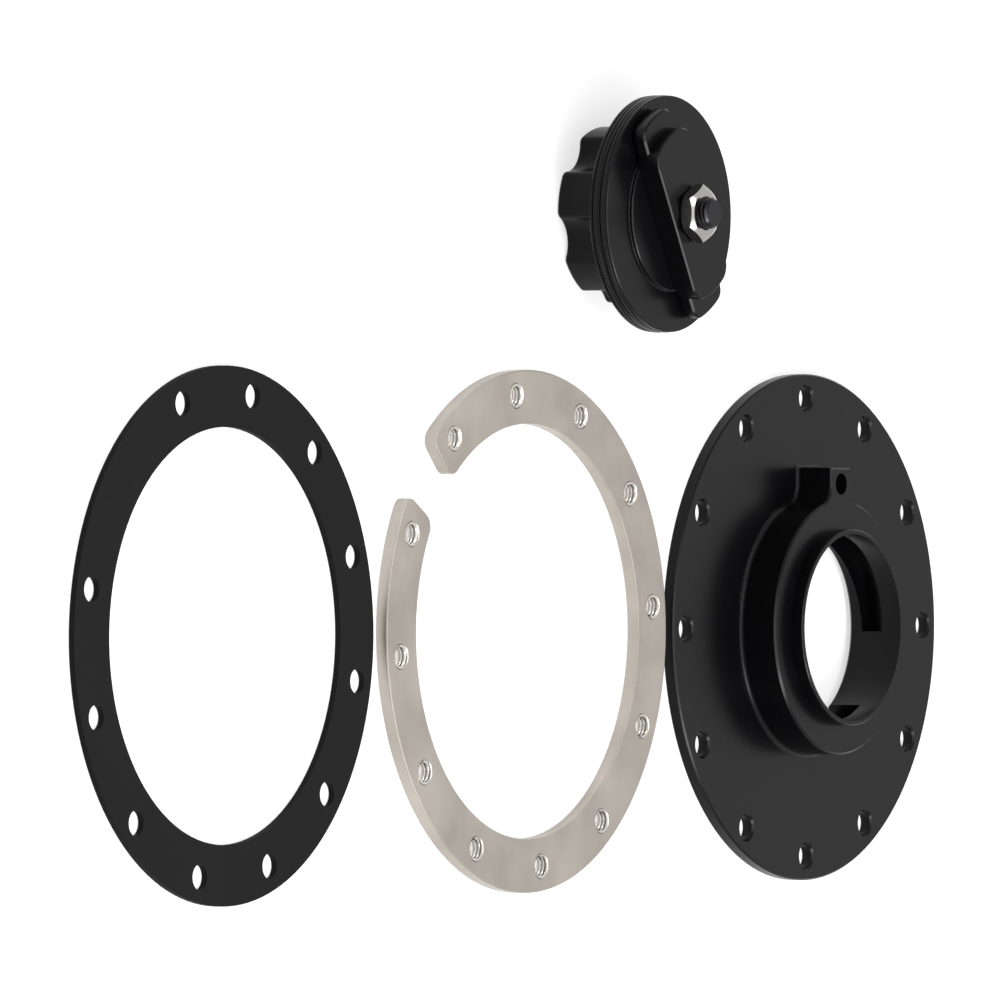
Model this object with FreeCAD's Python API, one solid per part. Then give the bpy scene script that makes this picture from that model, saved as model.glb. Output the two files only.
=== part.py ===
import FreeCAD, Part
import math
import os

# A bayonet fuel filler cap with the mounting flange, gasket and nut ring that fit it to a tank.
# The flange, gasket and nut ring lie in a row and the cap lies on its knob beside them, all with
# the side that faces into the tank turned up.
# The origin is the middle of the flange's outer face. +Z points into the tank, +Y to the
# flange's lobe and -X to the gasket.

# Screw circle, shared by the flange, the gasket and the nut ring
screw_circle_d = 120.65
screw_count = 12
ring_d = 133.35              # outside of the flange, the gasket and the nut ring
screw_d = 6.0
screw_clearance = 0.2        # on the radius

# Bayonet of the cap
ear_reach = 28.2             # from the axis to the end of an ear
ear_w = 15.0
ear_t = 3.0
ear_corner_r = 3.5
ear_edge = 0.5
ear_clearance = 1.6          # past the ears' ends in the flange's groove
entry_clearance = 3.6        # degrees on either side of an ear in its entry slot
ramp_lead = 0.35             # the ramp starts this far below the ears
ramp_climb = 3.35
pad_reach = 22.6             # the thick middle of the latch bar
pad_w = 18.0
pad_h = 5.9
pad_corner_r = 5.0
pad_edge = 0.35

# Cap plate
plate_d = 60.8
plate_t = 5.3
plate_edge = 0.2
seal_groove_w = 1.5
seal_groove_depth = 1.4
seal_land = 0.8              # rim between either face and the groove beside it
boss_d = 39.6
boss_h = 1.1
boss_edge = 0.25
boss_root_r = 0.4

# Mounting flange
flange_t = 3.2
flange_edge = 0.4
screw_hole_edge = 0.5
plate_clearance = 0.2        # cap plate in the flange's recess, on the radius
recess_depth = 1.6
neck_d = 67.0
neck_h = 10.7                # above the flange's inner face
neck_edge = 0.5
neck_root_r = 1.2
bore_d = 49.2
bore_edge = 0.8
lip_t = 1.2
lip_h = 3.6
lip_edge = 0.25
groove_top_z = 11.7          # top of the bayonet groove, from the flange's outer face
entry_middle = 104.0         # middle of an entry slot, counted anticlockwise from +X
groove_end = -3.0

# Lobe on the neck, with a screw hole through it
lobe_w = 9.8
lobe_reach = 42.0            # from the axis to the lobe's end
lobe_fillet_r = 5.5
lobe_hole_d = 5.7
lobe_hole_y = 37.7

# Stud, nut, washer and stem seal
stud_d = 8.0
stud_edge = 0.7
stud_past_nut = 2.6
stud_clearance = 0.05        # stud in the plate and the washer, on the radius
nut_across_flats = 13.0
nut_t = 4.0
nut_face_inset = 0.15        # of the round faces inside the flats
nut_face_angle = 30.0
nut_turn = 31.0
washer_d = 24.0
washer_t = 0.9
stem_seal_section = 1.8
turning_gap = 0.05           # between faces that turn on each other

# Knob
knob_r = 22.7
knob_h = 13.8
knob_lobes = 6
knob_turn = 47.0             # of one lobe from +X
scallop_r = 7.5
scallop_depth = 3.5
crest_r = 2.0
knob_edge = 1.0
stud_socket_h = 9.0

# Flange gasket
gasket_t = 1.6
gasket_inner_d = 103.0
gasket_turn = 18.7
blank_place = 4              # the gasket has no hole at this place in the circle

# Nut ring, slit so that it can be fed through the hole in the tank
nut_ring_t = 3.2
nut_ring_inner_d = 105.8
nut_ring_turn = 5.6
nut_ring_edge = 0.3
tapping_d = 5.0
slit_place = 4.5             # the slit lies midway between two holes
slit_angle = 15.0
slit_corner_r = 3.5

# Where the loose pieces lie
row_gap = 3.65
cap_x = -96.0
cap_y = 107.0
latch_turn = 119.0           # long axis of the latch bar from +X

# Levels of the cap, counted up from the knob's end on which it lies
washer_z = knob_h + turning_gap
plate_z = washer_z + washer_t
plate_top_z = plate_z + plate_t
bar_lift = boss_h + turning_gap
bar_z = plate_top_z + bar_lift
ear_top_z = bar_z + ear_t
pad_top_z = bar_z + pad_h
nut_top_z = pad_top_z + nut_t
stud_top_z = nut_top_z + stud_past_nut

# Levels and radii of the flange
neck_top_z = flange_t + neck_h
lip_top_z = neck_top_z + lip_h
recess_r = plate_d / 2 + plate_clearance
groove_r = ear_reach + ear_clearance
ramp_low_z = recess_depth + bar_lift - ramp_lead
ramp_high_z = ramp_low_z + ramp_climb
entry_half = math.degrees(math.asin(ear_w / 2 / ear_reach)) + entry_clearance
ramp_start = entry_middle - entry_half
entry_end = entry_middle + entry_half
row_pitch = ring_d + row_gap

up = FreeCAD.Vector(0, 0, 1)
axis_point = FreeCAD.Vector(0, 0, 0)


def at(x, y, z=0.0):
    return FreeCAD.Vector(x, y, z)


def disc(radius, height, z=0.0):
    return Part.makeCylinder(radius, height, at(0, 0, z))


def hole_at(radius, height, x, y, z=0.0):
    return Part.makeCylinder(radius, height, at(x, y, z))


def turned(shape, angle):
    copy = shape.copy()
    copy.rotate(axis_point, up, angle)
    return copy


def around(shape, count, first=0.0):
    return [turned(shape, first + step * 360.0 / count) for step in range(count)]


def sector(radius, height, z, start, end):
    wedge = Part.makeCylinder(radius, height, at(0, 0, z), up, end - start)
    return turned(wedge, start)


def upright_edges(shape):
    found = []
    for edge in shape.Edges:
        if isinstance(edge.Curve, Part.Line) and edge.BoundBox.ZLength > edge.Length * 0.99:
            found.append(edge)
    return found


def level_edges(shape, z):
    found = []
    for edge in shape.Edges:
        if abs(edge.BoundBox.ZMin - z) < 0.01 and abs(edge.BoundBox.ZMax - z) < 0.01:
            found.append(edge)
    return found


def rim_edges(shape, radius, z):
    found = []
    for edge in level_edges(shape, z):
        if isinstance(edge.Curve, Part.Circle) and abs(edge.Curve.Radius - radius) < 0.01:
            found.append(edge)
    return found


def turned_profile(points):
    outline = Part.makePolygon([at(r, 0, z) for r, z in points + points[:1]])
    return Part.Face(outline).revolve(axis_point, up, 360)


def screw_holes(radius, height, z=0.0):
    return around(hole_at(radius, height, screw_circle_d / 2, 0, z), screw_count)


# Mounting flange
def neck_with_lobe():
    # The corners where the lobe meets the neck are rounded before anything else is added
    neck = disc(neck_d / 2, neck_h, flange_t)
    lobe = Part.makeBox(lobe_w, lobe_reach, neck_h, at(-lobe_w / 2, 0, flange_t))
    solid = neck.fuse(lobe).removeSplitter()
    inner_corners = []
    for edge in upright_edges(solid):
        beside_lobe = abs(abs(edge.CenterOfMass.x) - lobe_w / 2) < 0.01
        if beside_lobe and 0 < edge.CenterOfMass.y < lobe_reach - 1:
            inner_corners.append(edge)
    solid = solid.makeFillet(lobe_fillet_r, inner_corners)
    return solid.makeChamfer(neck_edge, level_edges(solid, neck_top_z))


def groove_above_ramp():
    # The floor of the groove climbs from the entry slot to the groove's end
    middle = (ramp_start + groove_end) / 2
    half_angle = math.radians((ramp_start - groove_end) / 2)
    run = 2 * (bore_d / 4 + groove_r / 2) * math.sin(half_angle)
    slope = math.degrees(math.atan2(ramp_high_z - ramp_low_z, run))
    size = 2 * ring_d
    below = Part.makeBox(size, size, size, at(-size / 2, -size / 2, -size))
    below.rotate(axis_point, at(1, 0, 0), -slope)
    below.translate(at(0, 0, (ramp_low_z + ramp_high_z) / 2))
    below = turned(below, middle)
    whole = sector(groove_r, groove_top_z, 0, groove_end, ramp_start)
    return whole.cut(below)


def bayonet_cuts():
    entry = sector(groove_r, groove_top_z, 0, ramp_start, entry_end)
    groove = groove_above_ramp()
    return around(entry, 2) + around(groove, 2)


def mounting_flange():
    plate = disc(ring_d / 2, flange_t)
    plate = plate.makeChamfer(flange_edge, rim_edges(plate, ring_d / 2, flange_t))
    body = plate.fuse(neck_with_lobe()).removeSplitter()
    root = []
    for edge in level_edges(body, flange_t):
        if edge.BoundBox.YMax < lobe_reach + 1 and edge.BoundBox.XLength < neck_d + 1:
            root.append(edge)
    body = body.makeFillet(neck_root_r, root)
    lip_r = bore_d / 2 + lip_t
    lip = disc(lip_r, lip_h + neck_edge, neck_top_z - neck_edge)
    lip = lip.makeChamfer(lip_edge, rim_edges(lip, lip_r, lip_top_z))
    cuts = [disc(bore_d / 2, lip_top_z)]
    cuts.append(disc(recess_r, recess_depth))
    cuts.append(turned_profile([(0, recess_depth), (bore_d / 2 + bore_edge, recess_depth),
                                (bore_d / 2, recess_depth + bore_edge), (0, recess_depth + bore_edge)]))
    cuts += bayonet_cuts()
    screw_hole_r = screw_d / 2 + screw_clearance
    cuts += screw_holes(screw_hole_r, flange_t)
    cone_z = flange_t - screw_hole_edge
    cone = Part.makeCone(screw_hole_r, screw_hole_r + screw_hole_edge, screw_hole_edge,
                         at(screw_circle_d / 2, 0, cone_z))
    cuts += around(cone, screw_count)
    cuts.append(hole_at(lobe_hole_d / 2, neck_top_z, 0, lobe_hole_y))
    return body.fuse(lip).cut(cuts)


# Gasket and nut ring
def flange_gasket():
    holes = screw_holes(screw_d / 2 + screw_clearance, gasket_t)
    del holes[blank_place]
    ring = disc(ring_d / 2, gasket_t).cut([disc(gasket_inner_d / 2, gasket_t)] + holes)
    ring = turned(ring, gasket_turn)
    ring.translate(at(-2 * row_pitch, 0))
    return ring


def nut_ring():
    middle = slit_place * 360.0 / screw_count
    slit = sector(ring_d, nut_ring_t, 0, middle - slit_angle / 2, middle + slit_angle / 2)
    ring = disc(ring_d / 2, nut_ring_t).cut([disc(nut_ring_inner_d / 2, nut_ring_t), slit])
    corners = []
    for edge in upright_edges(ring):
        way = math.degrees(math.atan2(edge.CenterOfMass.y, edge.CenterOfMass.x))
        if abs(way - middle) < slit_angle:
            corners.append(edge)
    ring = ring.makeFillet(slit_corner_r, corners)
    ring = ring.makeChamfer(nut_ring_edge, level_edges(ring, nut_ring_t))
    ring = turned(ring.cut(screw_holes(tapping_d / 2, nut_ring_t)), nut_ring_turn)
    ring.translate(at(-row_pitch, 0))
    return ring


# Cap
def groove_levels():
    lower = plate_z + seal_land
    upper = plate_top_z - seal_land - seal_groove_w
    return lower, upper


def cap_plate():
    plate = disc(plate_d / 2, plate_t, plate_z)
    grooves = []
    for z in groove_levels():
        band = disc(plate_d, seal_groove_w, z)
        grooves.append(band.cut(disc(plate_d / 2 - seal_groove_depth, seal_groove_w, z)))
    plate = plate.cut(grooves)
    rims = rim_edges(plate, plate_d / 2, plate_z) + rim_edges(plate, plate_d / 2, plate_top_z)
    plate = plate.makeChamfer(plate_edge, rims)
    boss = disc(boss_d / 2, boss_h, plate_top_z)
    boss = boss.makeChamfer(boss_edge, rim_edges(boss, boss_d / 2, plate_top_z + boss_h))
    plate = plate.fuse(boss)
    plate = plate.makeFillet(boss_root_r, rim_edges(plate, boss_d / 2, plate_top_z))
    bore = disc(stud_d / 2 + stud_clearance, plate_t + boss_h, plate_z)
    pocket = disc(stud_d / 2 + stem_seal_section, stem_seal_section, plate_z)
    return plate.cut([bore, pocket])


def rim_seal(z):
    # A round section that fills its groove from wall to wall
    r = seal_groove_w / 2
    ring_r = plate_d / 2 - seal_groove_depth + r
    return Part.makeTorus(ring_r, r, at(0, 0, z + r))


def stem_seal():
    r = stem_seal_section / 2
    return Part.makeTorus(stud_d / 2 + r, r, at(0, 0, plate_z + r))


def thrust_washer():
    ring = disc(washer_d / 2, washer_t, washer_z)
    return ring.cut(disc(stud_d / 2 + stud_clearance, washer_t, washer_z))


def knob():
    blank = disc(knob_r, knob_h)
    scallop = hole_at(scallop_r, knob_h, knob_r - scallop_depth + scallop_r, 0)
    half_step = 180.0 / knob_lobes
    body = blank.cut(around(scallop, knob_lobes, knob_turn + half_step))
    crests = [edge for edge in upright_edges(body) if math.hypot(*edge.CenterOfMass[:2]) > knob_r - 1]
    body = body.makeFillet(crest_r, crests)
    body = body.makeFillet(knob_edge, level_edges(body, 0))
    return body.cut(disc(stud_d / 2, stud_socket_h, knob_h - stud_socket_h))


def stud():
    foot_z = knob_h - stud_socket_h
    rod = disc(stud_d / 2, stud_top_z - foot_z, foot_z)
    return rod.makeChamfer(stud_edge, rim_edges(rod, stud_d / 2, stud_top_z))


def bar_slab(reach, width, height, z, corner_r):
    # A flat bar with ends that follow a circle round the axis and rounded corners
    slab = Part.makeBox(2 * reach, width, height, at(-reach, -width / 2, z))
    slab = slab.common(disc(reach, height, z))
    return slab.makeFillet(corner_r, upright_edges(slab))


def latch_bar():
    ears = bar_slab(ear_reach, ear_w, ear_t, bar_z, ear_corner_r)
    ears = ears.makeChamfer(ear_edge, level_edges(ears, ear_top_z))
    pad = bar_slab(pad_reach, pad_w, pad_h, bar_z, pad_corner_r)
    pad = pad.makeChamfer(pad_edge, level_edges(pad, pad_top_z))
    bar = pad.fuse(ears).removeSplitter()
    bar = bar.cut(disc(stud_d / 2, pad_h, bar_z))
    return turned(bar, latch_turn)


def lock_nut():
    # A hexagon nut with the corners taken off both faces
    corner_r = nut_across_flats / math.sqrt(3)
    face_r = nut_across_flats / 2 - nut_face_inset
    drop = (corner_r - face_r) * math.tan(math.radians(nut_face_angle))
    corners = []
    for step in range(7):
        angle = math.radians(60 * step)
        corners.append(at(corner_r * math.cos(angle), corner_r * math.sin(angle), pad_top_z))
    hexagon = Part.Face(Part.makePolygon(corners)).extrude(at(0, 0, nut_t))
    rounding = turned_profile([(0, pad_top_z), (face_r, pad_top_z), (corner_r, pad_top_z + drop),
                               (corner_r, nut_top_z - drop), (face_r, nut_top_z), (0, nut_top_z)])
    nut = hexagon.common(rounding).cut(disc(stud_d / 2, nut_t, pad_top_z))
    return turned(nut, latch_turn + nut_turn)


def on_cap_place(shape):
    shape.translate(at(cap_x, cap_y))
    return shape


def export(shape, name):
    solids = shape.Solids
    if len(solids) != 1 or not shape.isValid():
        raise ValueError("%s has %d solids, valid %s" % (name, len(solids), shape.isValid()))
    solids[0].exportStep("parts/%s.step" % name)
    print("%-16s %10.1f mm3" % (name, solids[0].Volume))


def main():
    os.makedirs("parts", exist_ok=True)
    export(mounting_flange(), "mounting_flange")
    export(flange_gasket(), "flange_gasket")
    export(nut_ring(), "nut_ring")
    lower, upper = groove_levels()
    cap_pieces = {
        "cap_plate": cap_plate(),
        "rim_seal_rear": rim_seal(lower),
        "rim_seal_front": rim_seal(upper),
        "stem_seal": stem_seal(),
        "thrust_washer": thrust_washer(),
        "knob": knob(),
        "stud": stud(),
        "latch_bar": latch_bar(),
        "lock_nut": lock_nut(),
    }
    for name, shape in cap_pieces.items():
        export(on_cap_place(shape), name)


main()
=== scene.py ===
import bpy
import math
from mathutils import Matrix, Vector


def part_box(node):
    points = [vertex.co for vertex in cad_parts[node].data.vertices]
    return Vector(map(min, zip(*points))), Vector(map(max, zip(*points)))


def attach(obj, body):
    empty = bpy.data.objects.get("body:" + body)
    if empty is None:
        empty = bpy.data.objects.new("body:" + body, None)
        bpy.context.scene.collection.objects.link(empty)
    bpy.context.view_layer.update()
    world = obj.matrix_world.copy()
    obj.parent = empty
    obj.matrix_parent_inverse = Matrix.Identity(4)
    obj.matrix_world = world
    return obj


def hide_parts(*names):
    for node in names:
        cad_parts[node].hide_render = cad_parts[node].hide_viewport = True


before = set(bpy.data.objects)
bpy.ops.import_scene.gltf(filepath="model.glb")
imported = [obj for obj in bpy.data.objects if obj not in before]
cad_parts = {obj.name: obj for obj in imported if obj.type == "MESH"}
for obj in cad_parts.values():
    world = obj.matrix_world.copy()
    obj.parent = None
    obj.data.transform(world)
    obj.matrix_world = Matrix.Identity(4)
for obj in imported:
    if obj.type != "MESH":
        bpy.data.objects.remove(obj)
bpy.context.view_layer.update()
mm = 0.001
smoothBelow = 20.0  # degrees between two faces
mergeWithin = 1e-7  # metres
sameLevel = 1e-6  # metres
sameWay = 1e-4  # radians
print("frame loaded,", len(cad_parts), "parts")


# small helpers

def linear(hexColour):  # sRGB hex to the linear values that Blender's sockets take
    values = []
    for i in (0, 2, 4):
        part = int(hexColour.lstrip("#")[i:i + 2], 16) / 255
        values.append(part / 12.92 if part <= 0.04045 else ((part + 0.055) / 1.055) ** 2.4)
    return (*values, 1.0)


def addNode(tree, kind, settings=None, links=None, inputs=None):
    node = tree.nodes.new(kind)
    for name, value in (settings or {}).items():
        setattr(node, name, value)
    for name, value in (inputs or {}).items():
        node.inputs[name].default_value = value
    for name, socket in (links or {}).items():
        tree.links.new(socket, node.inputs[name])
    return node


def newMaterial(name):
    material = bpy.data.materials.new(name)
    material.use_nodes = True
    material.node_tree.nodes.clear()
    return material, material.node_tree


def setOutput(tree, shader):
    addNode(tree, "ShaderNodeOutputMaterial", links={"Surface": shader.outputs[0]})


def addColourMix(tree, look, noise):  # a noise goes from the look's dark colour to its light one
    mix = addNode(tree, "ShaderNodeMix", {"data_type": "RGBA"}, {"Factor": noise.outputs["Fac"]})
    colours = [socket for socket in mix.inputs if socket.type == "RGBA"]
    colours[0].default_value, colours[1].default_value = linear(look["dark"]), linear(look["light"])
    return [socket for socket in mix.outputs if socket.type == "RGBA"][0]


def deselect():
    if bpy.context.object and bpy.context.object.mode != "OBJECT":
        bpy.ops.object.mode_set(mode="OBJECT")
    bpy.ops.object.select_all(action="DESELECT")


def makeActive(piece):
    deselect()
    piece.select_set(True)
    bpy.context.view_layer.objects.active = piece


def applyModifier(piece, kind, **settings):
    makeActive(piece)
    modifier = piece.modifiers.new(kind.lower(), kind)
    for name, value in settings.items():
        setattr(modifier, name, value)
    bpy.ops.object.modifier_apply(modifier=modifier.name)


def editMesh(piece, mode="EDGE"):
    makeActive(piece)
    bpy.ops.object.mode_set(mode="EDIT")
    bpy.ops.mesh.select_mode(type=mode)


def applyPlace(piece):  # the place goes into the mesh, and the object back to the origin
    makeActive(piece)
    bpy.ops.object.transform_apply(location=True, rotation=True, scale=True)


def cutWith(piece, cutter, operation="DIFFERENCE"):
    applyModifier(piece, "BOOLEAN", object=cutter, operation=operation, solver="EXACT")
    bpy.data.objects.remove(cutter)


def addCylinder(name, radius, depth, base, sides=96):
    deselect()
    bpy.ops.mesh.primitive_cylinder_add(vertices=sides, radius=radius, depth=depth,
                                        location=(base[0], base[1], base[2] + depth / 2))
    piece = bpy.context.object
    piece.name = name
    applyPlace(piece)
    return piece


def addCone(name, lowRadius, highRadius, low, high, centre, sides=96):
    deselect()
    bpy.ops.mesh.primitive_cone_add(vertices=sides, radius1=lowRadius, radius2=highRadius, depth=high - low,
                                    location=(centre[0], centre[1], (low + high) / 2))
    piece = bpy.context.object
    piece.name = name
    applyPlace(piece)
    return piece


def joinPieces(pieces):  # into the first one
    makeActive(pieces[0])
    for piece in pieces:
        piece.select_set(True)
    bpy.ops.object.join()
    return pieces[0]


def paint(piece, material):
    piece.data.materials.clear()
    piece.data.materials.append(material)


def finishPiece(piece, body, replaced):
    makeActive(piece)
    bpy.ops.object.shade_smooth_by_angle(angle=math.radians(smoothBelow))
    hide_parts(replaced)
    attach(piece, body)


# materials

def makeAnodised():
    # Turned aluminium, anodised and dyed black: a deep neutral black with a broad soft sheen and no
    # metal colour. The even grain is drawn coarser than the real one, so that it shows, and the IOR
    # lies under that of the oxide, which matches the sheen in the photo
    look = {
        "colour": "#08080a", "ior": 1.23, "smooth": 0.23, "rough": 0.32, "patch": 22 * mm,
        "grain": 0.3 * mm, "grainDepth": 0.0012 * mm, "grainStrength": 0.5,
    }
    material, tree = newMaterial("blackAnodisedAluminium")
    place = addNode(tree, "ShaderNodeTexCoord")
    grain = addNode(tree, "ShaderNodeTexNoise", links={"Vector": place.outputs["Object"]},
                    inputs={"Scale": 1 / look["grain"], "Detail": 2.0})
    patches = addNode(tree, "ShaderNodeTexNoise", links={"Vector": place.outputs["Object"]},
                      inputs={"Scale": 1 / look["patch"], "Detail": 3.0})
    roughness = addNode(tree, "ShaderNodeMapRange", links={"Value": patches.outputs["Fac"]},
                        inputs={"To Min": look["smooth"], "To Max": look["rough"]})
    bump = addNode(tree, "ShaderNodeBump", links={"Height": grain.outputs["Fac"]},
                   inputs={"Strength": look["grainStrength"], "Distance": look["grainDepth"]})
    shader = addNode(tree, "ShaderNodeBsdfPrincipled",
                     links={"Roughness": roughness.outputs["Result"], "Normal": bump.outputs["Normal"]},
                     inputs={"Base Color": linear(look["colour"]), "IOR": look["ior"]})
    setOutput(tree, shader)
    return material


def makeSheetRubber():
    # Nitrile sheet, rolled and punched: dull charcoal with a fine even tooth
    look = {
        "dark": "#090909", "light": "#0f0f0f", "cloud": 30 * mm, "roughness": 0.75, "ior": 1.24,
        "tooth": 0.5 * mm, "toothDepth": 0.02 * mm, "toothStrength": 0.6,
    }
    material, tree = newMaterial("rolledNitrileSheet")
    place = addNode(tree, "ShaderNodeTexCoord")
    tooth = addNode(tree, "ShaderNodeTexNoise", links={"Vector": place.outputs["Object"]},
                    inputs={"Scale": 1 / look["tooth"], "Detail": 3.0})
    clouds = addNode(tree, "ShaderNodeTexNoise", links={"Vector": place.outputs["Object"]},
                     inputs={"Scale": 1 / look["cloud"], "Detail": 2.0})
    colour = addColourMix(tree, look, clouds)
    bump = addNode(tree, "ShaderNodeBump", links={"Height": tooth.outputs["Fac"]},
                   inputs={"Strength": look["toothStrength"], "Distance": look["toothDepth"]})
    shader = addNode(tree, "ShaderNodeBsdfPrincipled",
                     links={"Base Color": colour, "Normal": bump.outputs["Normal"]},
                     inputs={"Roughness": look["roughness"], "IOR": look["ior"]})
    setOutput(tree, shader)
    return material


def makeBareAluminium():
    # Water-jet aluminium plate, tumbled: bare warm-grey metal with a fine random scratch that blurs
    # what it mirrors, so it reads as an even satin with faint clouds
    look = {
        "dark": "#958f87", "light": "#c3bcb3", "cloud": 16 * mm, "smooth": 0.31, "rough": 0.42,
        "scratch": 0.18 * mm, "scratchDepth": 0.004 * mm, "scratchStrength": 0.5,
    }
    material, tree = newMaterial("tumbledAluminium")
    place = addNode(tree, "ShaderNodeTexCoord")
    clouds = addNode(tree, "ShaderNodeTexNoise", links={"Vector": place.outputs["Object"]},
                     inputs={"Scale": 1 / look["cloud"], "Detail": 4.0})
    scratch = addNode(tree, "ShaderNodeTexNoise", links={"Vector": place.outputs["Object"]},
                      inputs={"Scale": 1 / look["scratch"], "Detail": 3.0})
    colour = addColourMix(tree, look, clouds)
    roughness = addNode(tree, "ShaderNodeMapRange", links={"Value": clouds.outputs["Fac"]},
                        inputs={"To Min": look["smooth"], "To Max": look["rough"]})
    bump = addNode(tree, "ShaderNodeBump", links={"Height": scratch.outputs["Fac"]},
                   inputs={"Strength": look["scratchStrength"], "Distance": look["scratchDepth"]})
    shader = addNode(tree, "ShaderNodeBsdfPrincipled",
                     links={"Base Color": colour, "Roughness": roughness.outputs["Result"],
                            "Normal": bump.outputs["Normal"]},
                     inputs={"Metallic": 1.0})
    setOutput(tree, shader)
    return material


def makeMoulding(name, look):  # one colour, one roughness and a fine skin
    material, tree = newMaterial(name)
    place = addNode(tree, "ShaderNodeTexCoord")
    skin = addNode(tree, "ShaderNodeTexNoise", links={"Vector": place.outputs["Object"]},
                   inputs={"Scale": 1 / look["skin"], "Detail": 2.0})
    bump = addNode(tree, "ShaderNodeBump", links={"Height": skin.outputs["Fac"]},
                   inputs={"Strength": 0.3, "Distance": look["skinDepth"]})
    shader = addNode(tree, "ShaderNodeBsdfPrincipled", links={"Normal": bump.outputs["Normal"]},
                     inputs={"Base Color": linear(look["colour"]), "Roughness": look["roughness"],
                             "IOR": look["ior"]})
    setOutput(tree, shader)
    return material


def makeSmoothMetal(name, look):  # one colour, and a shine that varies a little
    material, tree = newMaterial(name)
    place = addNode(tree, "ShaderNodeTexCoord")
    marks = addNode(tree, "ShaderNodeTexNoise", links={"Vector": place.outputs["Object"]},
                    inputs={"Scale": 1 / look["marks"], "Detail": look["detail"]})
    roughness = addNode(tree, "ShaderNodeMapRange", links={"Value": marks.outputs["Fac"]},
                        inputs={"To Min": look["smooth"], "To Max": look["rough"]})
    shader = addNode(tree, "ShaderNodeBsdfPrincipled", links={"Roughness": roughness.outputs["Result"]},
                     inputs={"Base Color": linear(look["colour"]), "Metallic": 1.0})
    setOutput(tree, shader)
    return material


# Moulded nitrile ring: black and a little oily, so a narrow soft highlight runs round it
sealLook = {"colour": "#080808", "roughness": 0.38, "ior": 1.26, "skin": 0.6 * mm, "skinDepth": 0.006 * mm}
# Stamped acetal sheet: milky and slightly waxy
acetalLook = {"colour": "#cfcabd", "roughness": 0.45, "ior": 1.48, "skin": 0.5 * mm, "skinDepth": 0.01 * mm}
# Bright zinc plate on a cold-formed nut: a light neutral mirror, slightly soft
zincLook = {"colour": "#a8a6a2", "smooth": 0.13, "rough": 0.23, "marks": 1.2 * mm, "detail": 3.0}
# Rolled thread with a black oxide: dark grey metal with an oily shine on the crests
oxideLook = {"colour": "#2a2a2d", "smooth": 0.24, "rough": 0.38, "marks": 0.8 * mm, "detail": 3.0}
# Aluminium freshly cut by a tap: smooth flanks that catch small hard lights
tappedLook = {"colour": "#cfccc7", "smooth": 0.12, "rough": 0.22, "marks": 0.9 * mm, "detail": 2.0}

anodised = makeAnodised()
sheetRubber = makeSheetRubber()
sealRubber = makeMoulding("mouldedNitrileSeal", sealLook)
bareAluminium = makeBareAluminium()
cutAluminium = makeSmoothMetal("tappedAluminium", tappedLook)
platedSteel = makeSmoothMetal("brightZincPlate", zincLook)
blackenedSteel = makeSmoothMetal("blackOxideSteel", oxideLook)
acetal = makeMoulding("naturalAcetal", acetalLook)

finishes = {
    "mounting_flange": anodised, "cap_plate": anodised, "knob": anodised, "latch_bar": anodised,
    "flange_gasket": sheetRubber, "rim_seal_front": sealRubber, "rim_seal_rear": sealRubber,
    "stem_seal": sealRubber, "thrust_washer": acetal, "nut_ring": bareAluminium,
    "lock_nut": platedSteel, "stud": blackenedSteel,
}
for name, material in finishes.items():
    paint(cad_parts[name], material)
print("materials made")


# threads

def addHelix(name, centre, base, profile, pitch, turns, stepsPerTurn=40):
    # A closed tooth outline, (radius, height) points, is carried up a helix by the Screw modifier
    deselect()
    bpy.ops.mesh.primitive_circle_add(vertices=len(profile), radius=1.0, fill_type="NGON")
    piece = bpy.context.object
    piece.name = name
    for vertex, (radius, height) in zip(piece.data.vertices, profile):
        vertex.co = Vector((radius, 0, height))
    applyModifier(piece, "SCREW", axis="Z", angle=2 * math.pi, screw_offset=pitch, iterations=turns,
                  steps=stepsPerTurn, render_steps=stepsPerTurn, use_merge_vertices=True)
    piece.location = (centre[0], centre[1], base)
    applyPlace(piece)
    return piece


def trimBetween(piece, low, high):
    for level, direction in ((low, -1), (high, 1)):
        editMesh(piece)
        bpy.ops.mesh.select_all(action="SELECT")
        bpy.ops.mesh.bisect(plane_co=(0, 0, level), plane_no=(0, 0, direction), use_fill=True,
                            clear_outer=True, threshold=mergeWithin)
        bpy.ops.object.mode_set(mode="OBJECT")


def turnOutward(piece):
    editMesh(piece, "VERT")
    bpy.ops.mesh.select_all(action="SELECT")
    bpy.ops.mesh.remove_doubles(threshold=mergeWithin)
    bpy.ops.mesh.normals_make_consistent(inside=False)
    bpy.ops.object.mode_set(mode="OBJECT")


# nut ring, with its threads cut

nutRing = {
    "centre": (-137.0 * mm, 0.0), "outer": 66.675 * mm, "inner": 52.9 * mm, "thickness": 3.2 * mm,
    "edge": 0.3 * mm, "edgeSegments": 2, "cornerRadius": 3.5 * mm, "cornerSegments": 10,
    "slit": 15.0, "slitMiddle": 140.6, "endStep": 4.5, "steps": 264,
    "holeCircle": 60.325 * mm, "holes": 12, "firstHole": 5.6,
    "majorRadius": 3.0 * mm, "minorRadius": 2.5 * mm, "pitch": 1.0 * mm, "countersink": 0.35 * mm,
    "crest": 0.26 * mm, "rootHalf": 0.46, "threadInset": 0.05 * mm, "turns": 5, "holeSides": 64,
}  # rootHalf is in pitches, angles in degrees


def spinLast(piece, angle, steps):  # carries the selected edge anticlockwise round the Z axis
    editMesh(piece)
    bpy.ops.mesh.spin(steps=steps, dupli=False, angle=-math.radians(angle), center=(0, 0, 0), axis=(0, 0, 1))


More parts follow.
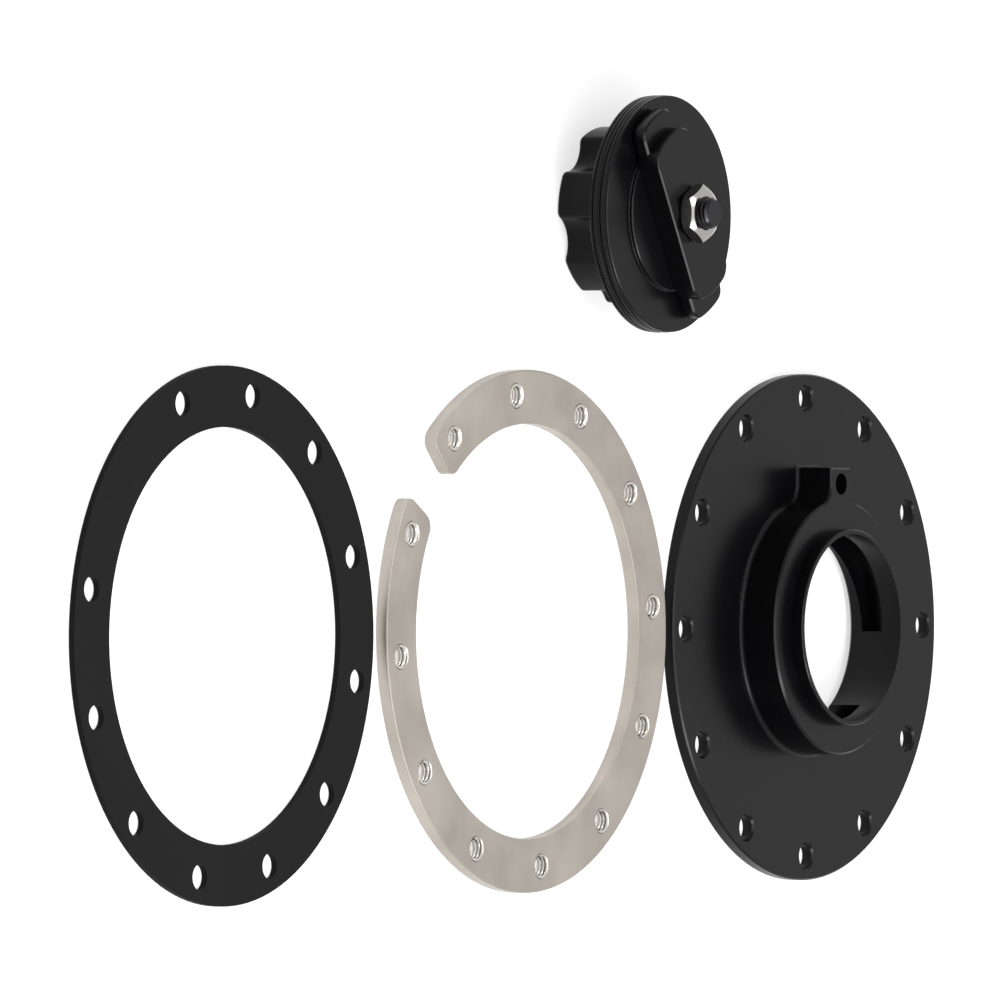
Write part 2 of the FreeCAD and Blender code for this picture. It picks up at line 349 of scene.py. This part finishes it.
def makeRingBlank(p):
    # One edge across the ring is spun round from one side of the slit to the other, with one long
    # step at either end, so that the corners there can be rounded
    deselect()
    bpy.ops.mesh.primitive_plane_add(size=1.0)
    ring = bpy.context.object
    ring.name = "nutRing"
    for vertex in ring.data.vertices:
        vertex.co = Vector((p["inner"] if vertex.co.x < 0 else p["outer"], 0, 0))
    editMesh(ring, "VERT")
    bpy.ops.mesh.select_all(action="SELECT")
    bpy.ops.mesh.remove_doubles(threshold=mergeWithin)
    bpy.ops.object.mode_set(mode="OBJECT")
    ring.rotation_euler = (0, 0, math.radians(p["slitMiddle"] + p["slit"] / 2))
    applyPlace(ring)
    editMesh(ring, "EDGE")
    bpy.ops.mesh.select_all(action="SELECT")
    spinLast(ring, p["endStep"], 1)
    spinLast(ring, 360 - p["slit"] - 2 * p["endStep"], p["steps"])
    spinLast(ring, p["endStep"], 1)
    bpy.ops.object.mode_set(mode="OBJECT")
    return ring


def selectSlitCorners(ring, p):
    ways = [math.radians(p["slitMiddle"] + side * p["slit"] / 2) for side in (-1, 1)]
    editMesh(ring, "VERT")
    bpy.ops.mesh.select_all(action="DESELECT")
    bpy.ops.object.mode_set(mode="OBJECT")
    for vertex in ring.data.vertices:
        way = math.atan2(vertex.co.y, vertex.co.x)
        vertex.select = any(abs(math.remainder(way - side, 2 * math.pi)) < sameWay for side in ways)
    bpy.ops.object.mode_set(mode="EDIT")


def makeNutRing(p):
    ring = makeRingBlank(p)
    selectSlitCorners(ring, p)
    bpy.ops.mesh.bevel(affect="VERTICES", offset=p["cornerRadius"], segments=p["cornerSegments"],
                       profile=0.5, clamp_overlap=False)
    bpy.ops.mesh.select_all(action="SELECT")
    bpy.ops.mesh.extrude_region_move(TRANSFORM_OT_translate={"value": (0, 0, p["thickness"])})
    turnOutward(ring)
    return ring


def makeThreadedHoles(ring, p):
    # One cutter and one thread are made at the first hole, then copied round the circle
    x, y = p["holeCircle"], 0.0
    major, minor = p["majorRadius"], p["minorRadius"]
    top, depth, sides = p["thickness"], p["countersink"], p["holeSides"]
    drill = addCylinder("drill", major, 2 * top, (x, y, -top / 2), sides)
    sink = addCone("sink", major, major + 2 * depth, top - depth, top + depth, (x, y), sides)
    cutWith(drill, sink, "UNION")
    inset, halfCrest, halfRoot = p["threadInset"], p["crest"] / 2, p["rootHalf"] * p["pitch"]
    tooth = [(major + inset, -halfRoot), (minor, -halfCrest), (minor, halfCrest), (major + inset, halfRoot)]
    thread = addHelix("ringThread", (x, y), -p["pitch"], tooth, p["pitch"], p["turns"])
    trimBetween(thread, inset, top - inset)
    turnOutward(thread)
    drills, threads = [], []
    for step in range(p["holes"]):
        turn = Matrix.Rotation(math.radians(p["firstHole"] + step * 360 / p["holes"]), 4, "Z")
        for source, copies in ((drill, drills), (thread, threads)):
            copy = source.copy()
            copy.data = source.data.copy()
            bpy.context.scene.collection.objects.link(copy)
            copy.data.transform(turn)
            copies.append(copy)
    bpy.data.objects.remove(drill)
    bpy.data.objects.remove(thread)
    cutWith(ring, joinPieces(drills))
    paint(ring, bareAluminium)
    for copy in threads:
        paint(copy, cutAluminium)
    return joinPieces([ring] + threads)


def breakUpperEdges(piece, level, size, segments):
    # The edges of the flat upper face that meet a side are taken off a little
    editMesh(piece)
    bpy.ops.mesh.select_all(action="DESELECT")
    bpy.ops.object.mode_set(mode="OBJECT")
    mesh = piece.data
    flat = {}
    for polygon in mesh.polygons:
        onTop = polygon.normal.z > 0.99 and abs(polygon.center.z - level) < sameLevel
        for key in polygon.edge_keys:
            flat.setdefault(key, []).append(onTop)
    for edge in mesh.edges:
        edge.select = sorted(flat[edge.key]) == [False, True]
    bpy.ops.object.mode_set(mode="EDIT")
    bpy.ops.mesh.bevel(offset=size, segments=segments, clamp_overlap=False)
    bpy.ops.object.mode_set(mode="OBJECT")


ringPiece = makeNutRing(nutRing)
breakUpperEdges(ringPiece, nutRing["thickness"], nutRing["edge"], nutRing["edgeSegments"])
ringPiece = makeThreadedHoles(ringPiece, nutRing)
ringPiece.location = (*nutRing["centre"], 0)
applyPlace(ringPiece)
finishPiece(ringPiece, "body", "nut_ring")
print("nut ring made,", len(ringPiece.data.polygons), "faces")


# stud with its thread

studFoot, studTop = (corner.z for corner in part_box("stud"))
studRod = {
    "centre": (-96.0 * mm, 107.0 * mm), "threadStart": 21.2 * mm, "radius": 4.0 * mm, "core": 3.36 * mm,
    "pitch": 1.25 * mm, "edge": 0.7 * mm, "crest": 0.225 * mm, "rootHalf": 0.48, "turns": 12,
    "overlap": 0.05 * mm, "coreInset": 1 * mm, "endGap": 0.02 * mm, "coneHeight": 40 * mm,
}


def makeStud(p):
    x, y = p["centre"]
    shank = addCylinder("studRod", p["radius"], p["threadStart"] - studFoot, (x, y, studFoot))
    coreFoot = studFoot + p["coreInset"]
    cutWith(shank, addCylinder("core", p["core"], studTop - coreFoot, (x, y, coreFoot)), "UNION")
    root, crest = p["core"] - p["overlap"], p["radius"]
    halfCrest, halfRoot = p["crest"] / 2, p["rootHalf"] * p["pitch"]
    tooth = [(root, -halfRoot), (root, halfRoot), (crest, halfCrest), (crest, -halfCrest)]
    thread = addHelix("studThread", (x, y), p["threadStart"] - p["pitch"], tooth, p["pitch"], p["turns"])
    trimBetween(thread, p["threadStart"], studTop - p["endGap"])
    turnOutward(thread)
    # The end is turned to a cone, whose point lies above the stud, before the thread is joined on
    coneTop = studTop + p["radius"] - p["edge"]
    tip = addCone("tip", p["coneHeight"], 0, coneTop - p["coneHeight"], coneTop, (x, y))
    cutWith(thread, tip, "INTERSECT")
    return joinPieces([shank, thread])


studPiece = makeStud(studRod)
paint(studPiece, blackenedSteel)
finishPiece(studPiece, "latch", "stud")
print("stud made,", len(studPiece.data.polygons), "faces")


# lock nut, with both faces turned to a cone and the thread's mouth opened

nutLow, nutHigh = (corner.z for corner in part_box("lock_nut"))
lockNut = {
    "centre": (-96.0 * mm, 107.0 * mm), "acrossFlats": 13.0 * mm, "turn": 150.0,
    "face": 5.85 * mm, "slope": 30.0, "bore": 4.0 * mm, "mouth": 4.4 * mm, "past": 1 * mm,
}


def makeLockNut(p):
    centre, thickness = p["centre"], nutHigh - nutLow
    nut = addCylinder("lockNut", p["acrossFlats"] / math.sqrt(3), thickness, (0, 0, nutLow), 6)
    nut.rotation_euler = (0, 0, math.radians(p["turn"] - 90))  # its first corner is on +Y
    nut.location = (*centre, 0)
    applyPlace(nut)
    # Both cones run past the nut's faces, so that no two faces lie in one plane
    past = p["past"]
    run = past / math.tan(math.radians(p["slope"]))
    wide, narrow = p["face"] + run * (thickness / past + 1), p["face"] - run
    cutWith(nut, addCone("upperCone", wide, narrow, nutLow - past, nutHigh + past, centre), "INTERSECT")
    cutWith(nut, addCone("lowerCone", narrow, wide, nutLow - past, nutHigh + past, centre), "INTERSECT")
    cutWith(nut, addCylinder("bore", p["bore"], 2 * thickness, (*centre, nutLow - thickness / 2)))
    depth = p["mouth"] - p["bore"]
    mouth = addCone("mouth", p["bore"] - depth, p["mouth"] + depth, nutHigh - 2 * depth,
                    nutHigh + depth, centre)
    cutWith(nut, mouth)
    return nut


nutPiece = makeLockNut(lockNut)
paint(nutPiece, platedSteel)
finishPiece(nutPiece, "latch", "lock_nut")
print("lock nut made,", len(nutPiece.data.polygons), "faces")


# camera, lights and floor

view = {
    "towards": (-0.8444, 0.0, 0.5357), "target": (-0.152, 0.0335, 0.004), "distance": 3.4,
    "lens": 482.0, "sensor": 36.0, "clipEnd": 20.0,
}
ground = {"size": 12.0, "level": -0.0002, "paper": "#bebebe", "glow": 0.65}
surroundings = {"light": 0.25, "seen": 1.0}
lamps = {  # metres and watts
    "edgePanel": {"at": (-0.8, -0.1, 1.15), "towards": (-0.13, 0.02, 0), "size": (2.6, 0.28), "power": 15.0},
    "barPanel": {"at": (-0.54, -0.96, 1.2), "towards": (-0.1, 0.1, 0), "size": (0.45, 0.45), "power": 11.0},
    "ceilingPanel": {"at": (-0.13, 0.05, 1.6), "towards": (-0.13, 0.05, 0), "size": (1.2, 1.2), "power": 2.2},
    "roofPanelLow": {"at": (0.1, -0.55, 1.5), "towards": (-0.1, 0.05, 0), "size": (0.5, 0.45), "power": 2.2},
    "roofPanelHigh": {"at": (0.1, 0.75, 1.5), "towards": (-0.1, 0.05, 0), "size": (0.5, 0.45), "power": 2.2},
}
white = (1, 1, 1, 1)


def makeCamera(p):
    back = Vector(p["towards"]).normalized()
    up = Vector((0, 1, 0))
    right = up.cross(back).normalized()
    up = back.cross(right)
    camera = bpy.data.objects.new("camera", bpy.data.cameras.new("camera"))
    bpy.context.scene.collection.objects.link(camera)
    turn = Matrix((right, up, back)).transposed()
    camera.matrix_world = Matrix.Translation(Vector(p["target"]) + back * p["distance"]) @ turn.to_4x4()
    camera.data.lens = p["lens"]
    camera.data.sensor_width = p["sensor"]
    camera.data.clip_end = p["clipEnd"]
    bpy.context.scene.camera = camera


def addSoftbox(name, p):
    lamp = bpy.data.objects.new(name, bpy.data.lights.new(name, "AREA"))
    bpy.context.scene.collection.objects.link(lamp)
    lamp.data.shape = "RECTANGLE"
    lamp.data.size, lamp.data.size_y = p["size"]
    lamp.data.energy = p["power"]
    lamp.location = p["at"]
    lamp.rotation_euler = (Vector(p["towards"]) - Vector(p["at"])).to_track_quat("-Z", "Y").to_euler()


def backgroundRays(tree):  # camera, mirrored and transmitted rays all see the white ground
    path = addNode(tree, "ShaderNodeLightPath")
    seen = path.outputs["Is Camera Ray"]
    for ray in ("Is Glossy Ray", "Is Transmission Ray"):
        either = addNode(tree, "ShaderNodeMath", {"operation": "MAXIMUM"})
        tree.links.new(seen, either.inputs[0])
        tree.links.new(path.outputs[ray], either.inputs[1])
        seen = either.outputs[0]
    return seen


def makeFloor(p):
    deselect()
    bpy.ops.mesh.primitive_plane_add(size=p["size"], location=(0, 0, p["level"]))
    floor = bpy.context.object
    floor.name = "studioFloor"
    material, tree = newMaterial("paperFloor")
    paper = addNode(tree, "ShaderNodeBsdfDiffuse", inputs={"Color": linear(p["paper"])})
    strength = addNode(tree, "ShaderNodeMapRange", links={"Value": backgroundRays(tree)},
                       inputs={"To Min": 0.0, "To Max": p["glow"]})
    glow = addNode(tree, "ShaderNodeEmission", links={"Strength": strength.outputs["Result"]},
                   inputs={"Color": white})
    litPaper = addNode(tree, "ShaderNodeAddShader")
    tree.links.new(paper.outputs[0], litPaper.inputs[0])
    tree.links.new(glow.outputs[0], litPaper.inputs[1])
    setOutput(tree, litPaper)
    floor.data.materials.append(material)


def makeWorld(p):
    world = bpy.data.worlds.new("studio")
    bpy.context.scene.world = world
    world.use_nodes = True
    tree = world.node_tree
    tree.nodes.clear()
    strength = addNode(tree, "ShaderNodeMapRange", links={"Value": backgroundRays(tree)},
                       inputs={"To Min": p["light"], "To Max": p["seen"]})
    glow = addNode(tree, "ShaderNodeBackground", links={"Strength": strength.outputs["Result"]},
                   inputs={"Color": white})
    addNode(tree, "ShaderNodeOutputWorld", links={"Surface": glow.outputs[0]})


makeCamera(view)
makeFloor(ground)
makeWorld(surroundings)
for name, lamp in lamps.items():
    addSoftbox(name, lamp)
bpy.context.scene.view_settings.view_transform = "Standard"
print("studio set")
